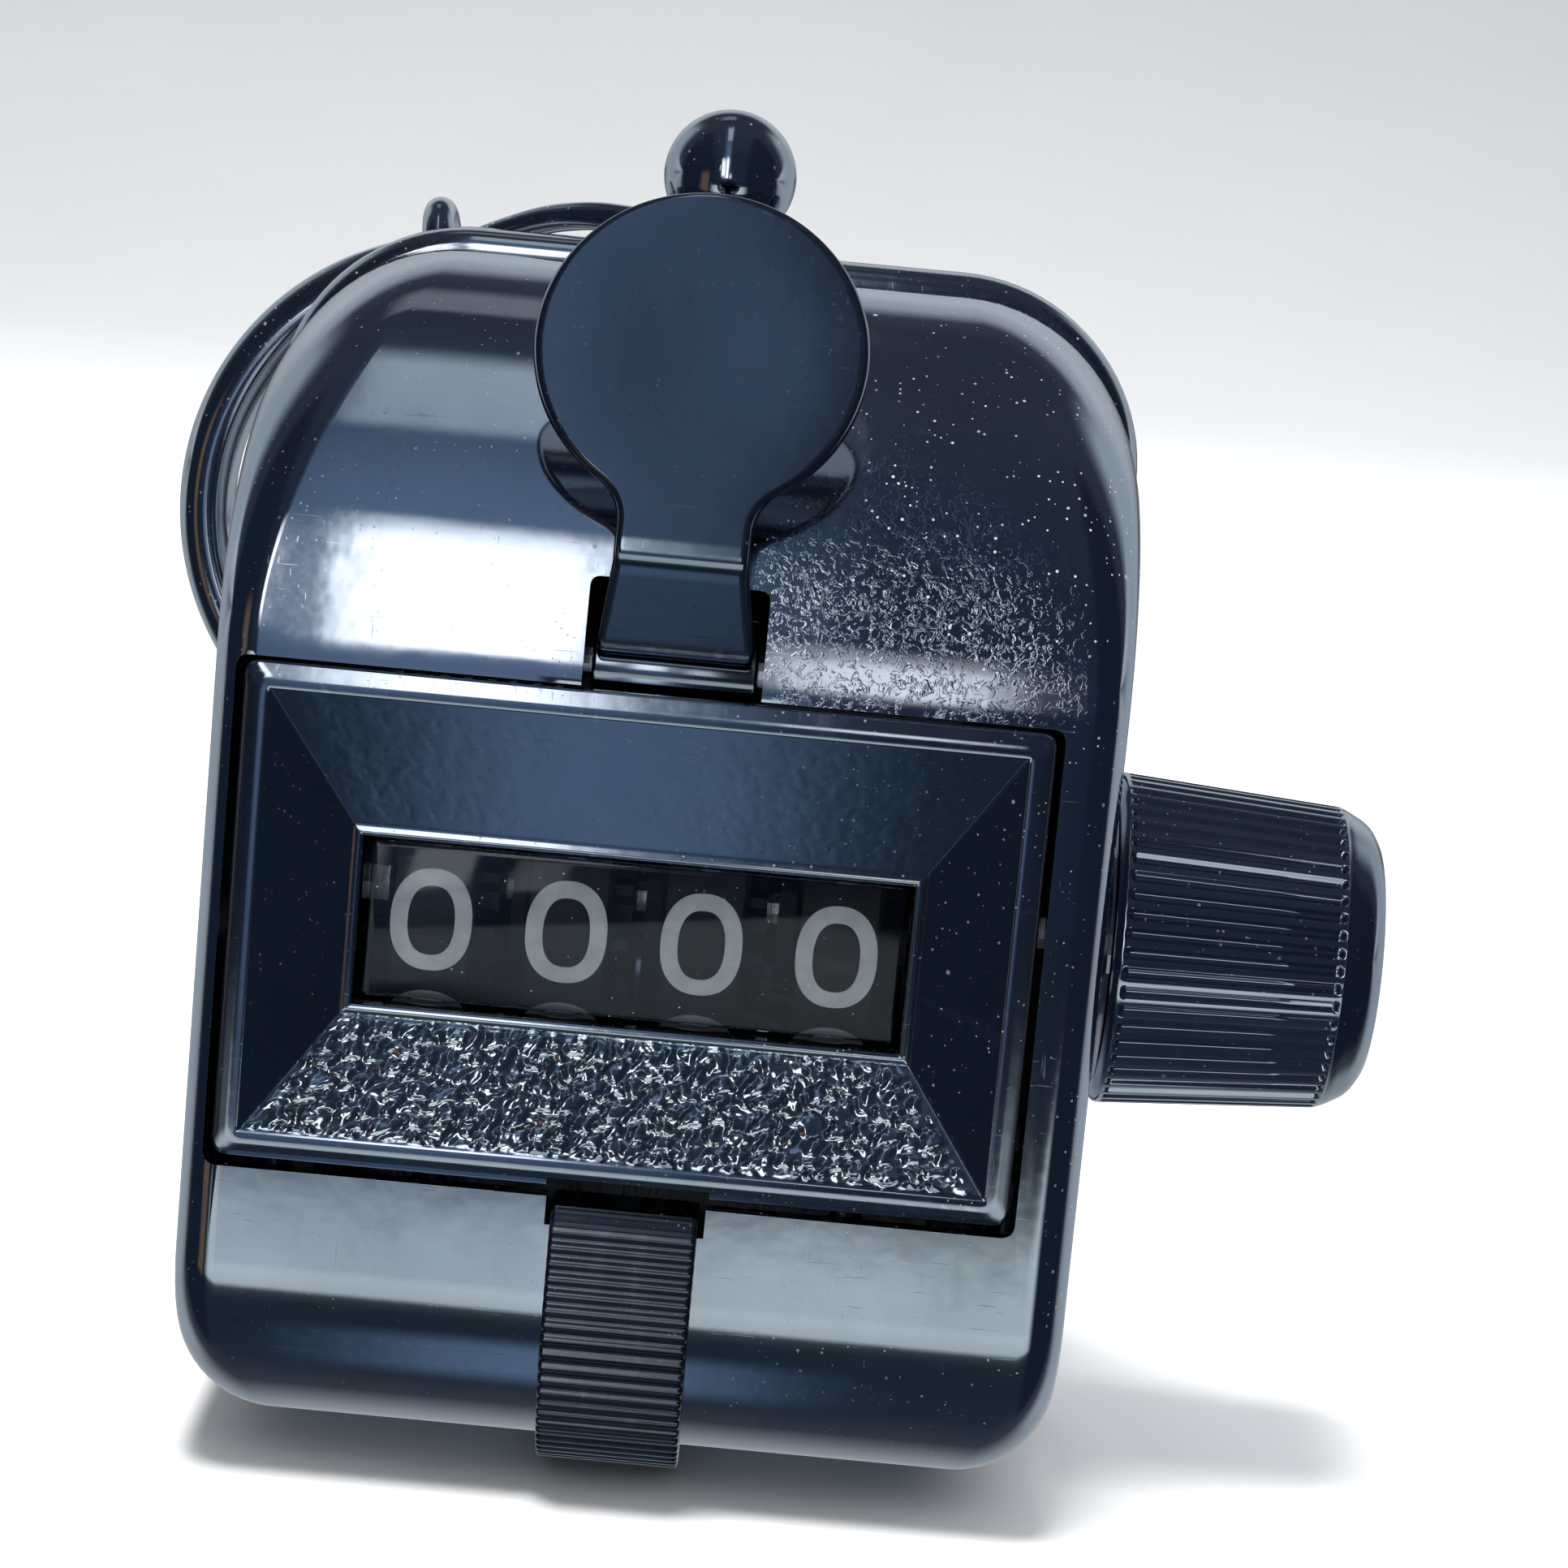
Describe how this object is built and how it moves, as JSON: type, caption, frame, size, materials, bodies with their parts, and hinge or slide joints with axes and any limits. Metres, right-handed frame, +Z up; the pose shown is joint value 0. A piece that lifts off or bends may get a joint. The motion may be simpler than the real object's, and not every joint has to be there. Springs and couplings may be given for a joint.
{
  "type": "hand tally counter",
  "caption": "Chromed hand tally counter with a thumb lever, a row of number wheels behind a recessed window, a knurled reset knob, a lanyard ring and a finger ring.",
  "frame": {"origin": "on the flat underside of the finger ring's strap, below the middle of the case", "axes": "+X to the reset knob, -Y out of the front face with the number window, +Z up to the thumb lever's pad"},
  "size_m": [0.0643, 0.0582, 0.0671],
  "materials": {
    "chrome": "mirror chrome plating over pressed steel, light scuffs and dust",
    "steel": "turned and pressed steel, satin",
    "brass": "machined brass",
    "wheel_black": "black moulded number wheels with off-white numerals",
    "lens_clear": "clear polished window",
    "spring_wire": "oil-dark spring wire"
  },
  "bodies": {
    "case": {"front_shell": "chrome", "back_cover": "chrome", "window_bezel": "chrome", "window_lens": "lens_clear", "finger_ring": "chrome", "lanyard_ball_stud": "chrome", "lanyard_link": "chrome", "back_screw_1": "steel", "back_screw_2": "steel", "back_screw_3": "steel", "back_screw_4": "steel", "ring_rivet_1": "steel", "ring_rivet_2": "steel", "knob_washer": "steel", "left_frame_plate": "steel", "right_frame_plate": "steel", "lower_frame_rod": "steel", "upper_frame_rod": "steel", "pinion_shaft": "steel", "lever_shaft": "steel", "lever_return_spring": "spring_wire", "detent_spring": "spring_wire"},
    "lever": {"thumb_lever": "chrome", "drive_arm": "steel", "pawl_pivot_pin": "steel"},
    "pawl": {"drive_pawl": "steel", "pawl_spring": "spring_wire"},
    "lanyard": {"lanyard_ring": "chrome"},
    "reset": {"reset_knob": "chrome", "wheel_shaft": "steel", "knob_set_screw": "steel", "shaft_collar": "steel", "shaft_e_clip": "steel"},
    "thousands_drum": {"thousands_wheel": "wheel_black"},
    "hundreds_drum": {"hundreds_wheel": "wheel_black"},
    "tens_drum": {"tens_wheel": "wheel_black"},
    "units_drum": {"units_wheel": "wheel_black"},
    "hundreds_to_thousands_transfer": {"hundreds_to_thousands_pinion": "brass"},
    "tens_to_hundreds_transfer": {"tens_to_hundreds_pinion": "brass"},
    "units_to_tens_transfer": {"units_to_tens_pinion": "brass"}
  },
  "joints": [
    {"name": "thumb_lever_press", "type": "hinge", "parent": "case", "child": "lever", "pos_m": [0, -0.0095, 0.041], "axis": [-1, 0, 0], "range_deg": [0, 14]},
    {"name": "drive_pawl_swing", "type": "hinge", "parent": "lever", "child": "pawl", "pos_m": [0.0119, -0.0055, 0.0355], "axis": [1, 0, 0], "range_deg": [-8, 2]},
    {"name": "reset_knob_turn", "type": "hinge", "parent": "case", "child": "reset", "pos_m": [0.0291, 0.0012, 0.0277], "axis": [1, 0, 0], "continuous": true},
    {"name": "lanyard_ring_swing", "type": "hinge", "parent": "case", "child": "lanyard", "pos_m": [-0.01511, 0.0185, 0.05747], "axis": [0.9903, 0, 0.1392], "range_deg": [0, 120]},
    {"name": "thousands_wheel_turn", "type": "hinge", "parent": "case", "child": "thousands_drum", "pos_m": [-0.01073, 0.0012, 0.0277], "axis": [1, 0, 0], "continuous": true},
    {"name": "hundreds_wheel_turn", "type": "hinge", "parent": "case", "child": "hundreds_drum", "pos_m": [-0.00417, 0.0012, 0.0277], "axis": [1, 0, 0], "continuous": true},
    {"name": "tens_wheel_turn", "type": "hinge", "parent": "case", "child": "tens_drum", "pos_m": [0.00237, 0.0012, 0.0277], "axis": [1, 0, 0], "continuous": true},
    {"name": "units_wheel_turn", "type": "hinge", "parent": "case", "child": "units_drum", "pos_m": [0.00893, 0.0012, 0.0277], "axis": [1, 0, 0], "continuous": true},
    {"name": "hundreds_to_thousands_pinion_turn", "type": "hinge", "parent": "case", "child": "hundreds_to_thousands_transfer", "pos_m": [-0.00747, 0.0068, 0.0374], "axis": [1, 0, 0], "continuous": true},
    {"name": "tens_to_hundreds_pinion_turn", "type": "hinge", "parent": "case", "child": "tens_to_hundreds_transfer", "pos_m": [-0.00093, 0.0068, 0.0374], "axis": [1, 0, 0], "continuous": true},
    {"name": "units_to_tens_pinion_turn", "type": "hinge", "parent": "case", "child": "units_to_tens_transfer", "pos_m": [0.00562, 0.0068, 0.0374], "axis": [1, 0, 0], "continuous": true}
  ],
  "couplings": [
    {"joint": "hundreds_to_thousands_pinion_turn", "follows": "thousands_wheel_turn", "ratio": -2.5},
    {"joint": "tens_to_hundreds_pinion_turn", "follows": "hundreds_wheel_turn", "ratio": -2.5},
    {"joint": "units_to_tens_pinion_turn", "follows": "tens_wheel_turn", "ratio": -2.5}
  ]
}
